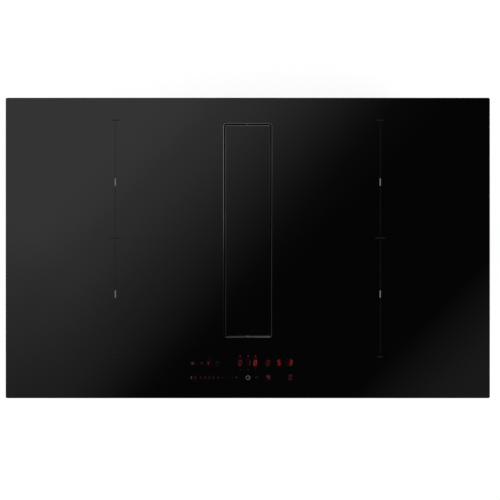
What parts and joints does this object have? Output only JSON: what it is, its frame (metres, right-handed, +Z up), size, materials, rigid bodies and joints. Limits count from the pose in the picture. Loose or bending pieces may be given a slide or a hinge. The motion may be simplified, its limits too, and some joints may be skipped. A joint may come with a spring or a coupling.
{
  "type": "downdraft induction cooktop",
  "caption": "Flat black glass induction cooktop with a central tilting glass flap over a lift-out grease filter, and an extractor fan in an air box below.",
  "frame": {"origin": "middle of the glass in plan, at the level of the air box's underside", "axes": "+X to the right along the glass's long side, +Y from the front edge with the controls to the back, +Z up"},
  "size_m": [0.83, 0.515, 0.218],
  "materials": {
    "black_glass": "polished, opaque black glass ceramic",
    "foam_seal": "matte closed-cell foam",
    "galvanised_steel": "satin galvanised sheet",
    "black_plastic": "fine matte texture",
    "grey_plastic": "satin",
    "stainless_steel": "brushed",
    "aluminium": "satin",
    "winding_wire": "enamelled",
    "mica_sheet": "matte",
    "circuit_board": "solder mask",
    "zinc_steel": "zinc plated",
    "print_grey": "printed enamel",
    "light_red": "lit from below",
    "light_white": "lit from below"
  },
  "bodies": {
    "cooktop": {"glass_top": "black_glass", "worktop_seal": "foam_seal", "inlet_collar": "black_plastic", "airbox_base": "black_plastic", "airbox_cover": "black_plastic", "fan_scroll": "black_plastic", "outlet_spigot": "black_plastic", "fan_motor": "aluminium", "motor_mount": "zinc_steel", "casing_floor": "galvanised_steel", "casing_walls": "galvanised_steel", "glass_rim": "galvanised_steel", "coil_left_rear": "winding_wire", "coil_base_left_rear": "grey_plastic", "coil_left_front": "winding_wire", "coil_base_left_front": "grey_plastic", "insulation_left": "mica_sheet", "coil_support_left": "aluminium", "power_board_left": "circuit_board", "heat_sink_left": "aluminium", "cooling_fan_frame_left": "black_plastic", "coil_right_rear": "winding_wire", "coil_base_right_rear": "grey_plastic", "coil_right_front": "winding_wire", "coil_base_right_front": "grey_plastic", "insulation_right": "mica_sheet", "coil_support_right": "aluminium", "power_board_right": "circuit_board", "heat_sink_right": "aluminium", "cooling_fan_frame_right": "black_plastic", "touch_board": "circuit_board", "display_module": "grey_plastic", "touch_carrier": "black_plastic", "filter_board": "circuit_board", "terminal_block": "grey_plastic", "terminal_cover": "black_plastic", "cable_gland": "black_plastic", "clamp_screw_1": "zinc_steel", "clamp_screw_2": "zinc_steel", "clamp_screw_3": "zinc_steel", "clamp_screw_4": "zinc_steel"},
    "drip_tray": {"drip_tray": "stainless_steel"},
    "grease_filter": {"filter_frame": "black_plastic", "filter_mesh_left": "aluminium", "filter_mesh_right": "aluminium", "filter_handle": "grey_plastic"},
    "flap_bearings": {"flap_bearing_front": "grey_plastic", "flap_bearing_rear": "grey_plastic"},
    "flap": {"flap_glass": "black_glass", "flap_backplate": "black_plastic", "flap_pin_front": "stainless_steel", "flap_pin_rear": "stainless_steel"},
    "fan_rotor": {"impeller": "grey_plastic", "impeller_shaft": "stainless_steel"},
    "cooling_rotor_left": {"cooling_fan_rotor_left": "grey_plastic"},
    "cooling_rotor_right": {"cooling_fan_rotor_right": "grey_plastic"},
    "clamp_1": {"worktop_clamp_1": "zinc_steel"},
    "clamp_2": {"worktop_clamp_2": "zinc_steel"},
    "clamp_3": {"worktop_clamp_3": "zinc_steel"},
    "clamp_4": {"worktop_clamp_4": "zinc_steel"}
  },
  "joints": [
    {"name": "tray_lift", "type": "slide", "parent": "cooktop", "child": "drip_tray", "axis": [0, 0, 1], "range_m": [0, 0.22]},
    {"name": "filter_lift", "type": "slide", "parent": "drip_tray", "child": "grease_filter", "axis": [0, 0, 1], "range_m": [0, 0.16]},
    {"name": "flap_lift", "type": "slide", "parent": "grease_filter", "child": "flap_bearings", "axis": [0, 0, 1], "range_m": [0, 0.06]},
    {"name": "flap_tilt", "type": "hinge", "parent": "flap_bearings", "child": "flap", "pos_m": [0, 0.03, 0.2091], "axis": [0, 1, 0], "range_deg": [0, 75]},
    {"name": "impeller_spin", "type": "hinge", "parent": "cooktop", "child": "fan_rotor", "pos_m": [0.165, 0.02, 0.1], "axis": [0, 0, 1], "continuous": true},
    {"name": "cooling_spin_left", "type": "hinge", "parent": "cooktop", "child": "cooling_rotor_left", "pos_m": [-0.3448, -0.1873, 0.164], "axis": [0, 0, 1], "continuous": true},
    {"name": "cooling_spin_right", "type": "hinge", "parent": "cooktop", "child": "cooling_rotor_right", "pos_m": [0.3448, -0.1873, 0.164], "axis": [0, 0, 1], "continuous": true},
    {"name": "clamp_1_travel", "type": "slide", "parent": "cooktop", "child": "clamp_1", "axis": [0, 0, 1], "range_m": [-0.003, 0.025]},
    {"name": "clamp_2_travel", "type": "slide", "parent": "cooktop", "child": "clamp_2", "axis": [0, 0, 1], "range_m": [-0.003, 0.025]},
    {"name": "clamp_3_travel", "type": "slide", "parent": "cooktop", "child": "clamp_3", "axis": [0, 0, 1], "range_m": [-0.003, 0.025]},
    {"name": "clamp_4_travel", "type": "slide", "parent": "cooktop", "child": "clamp_4", "axis": [0, 0, 1], "range_m": [-0.003, 0.025]}
  ]
}
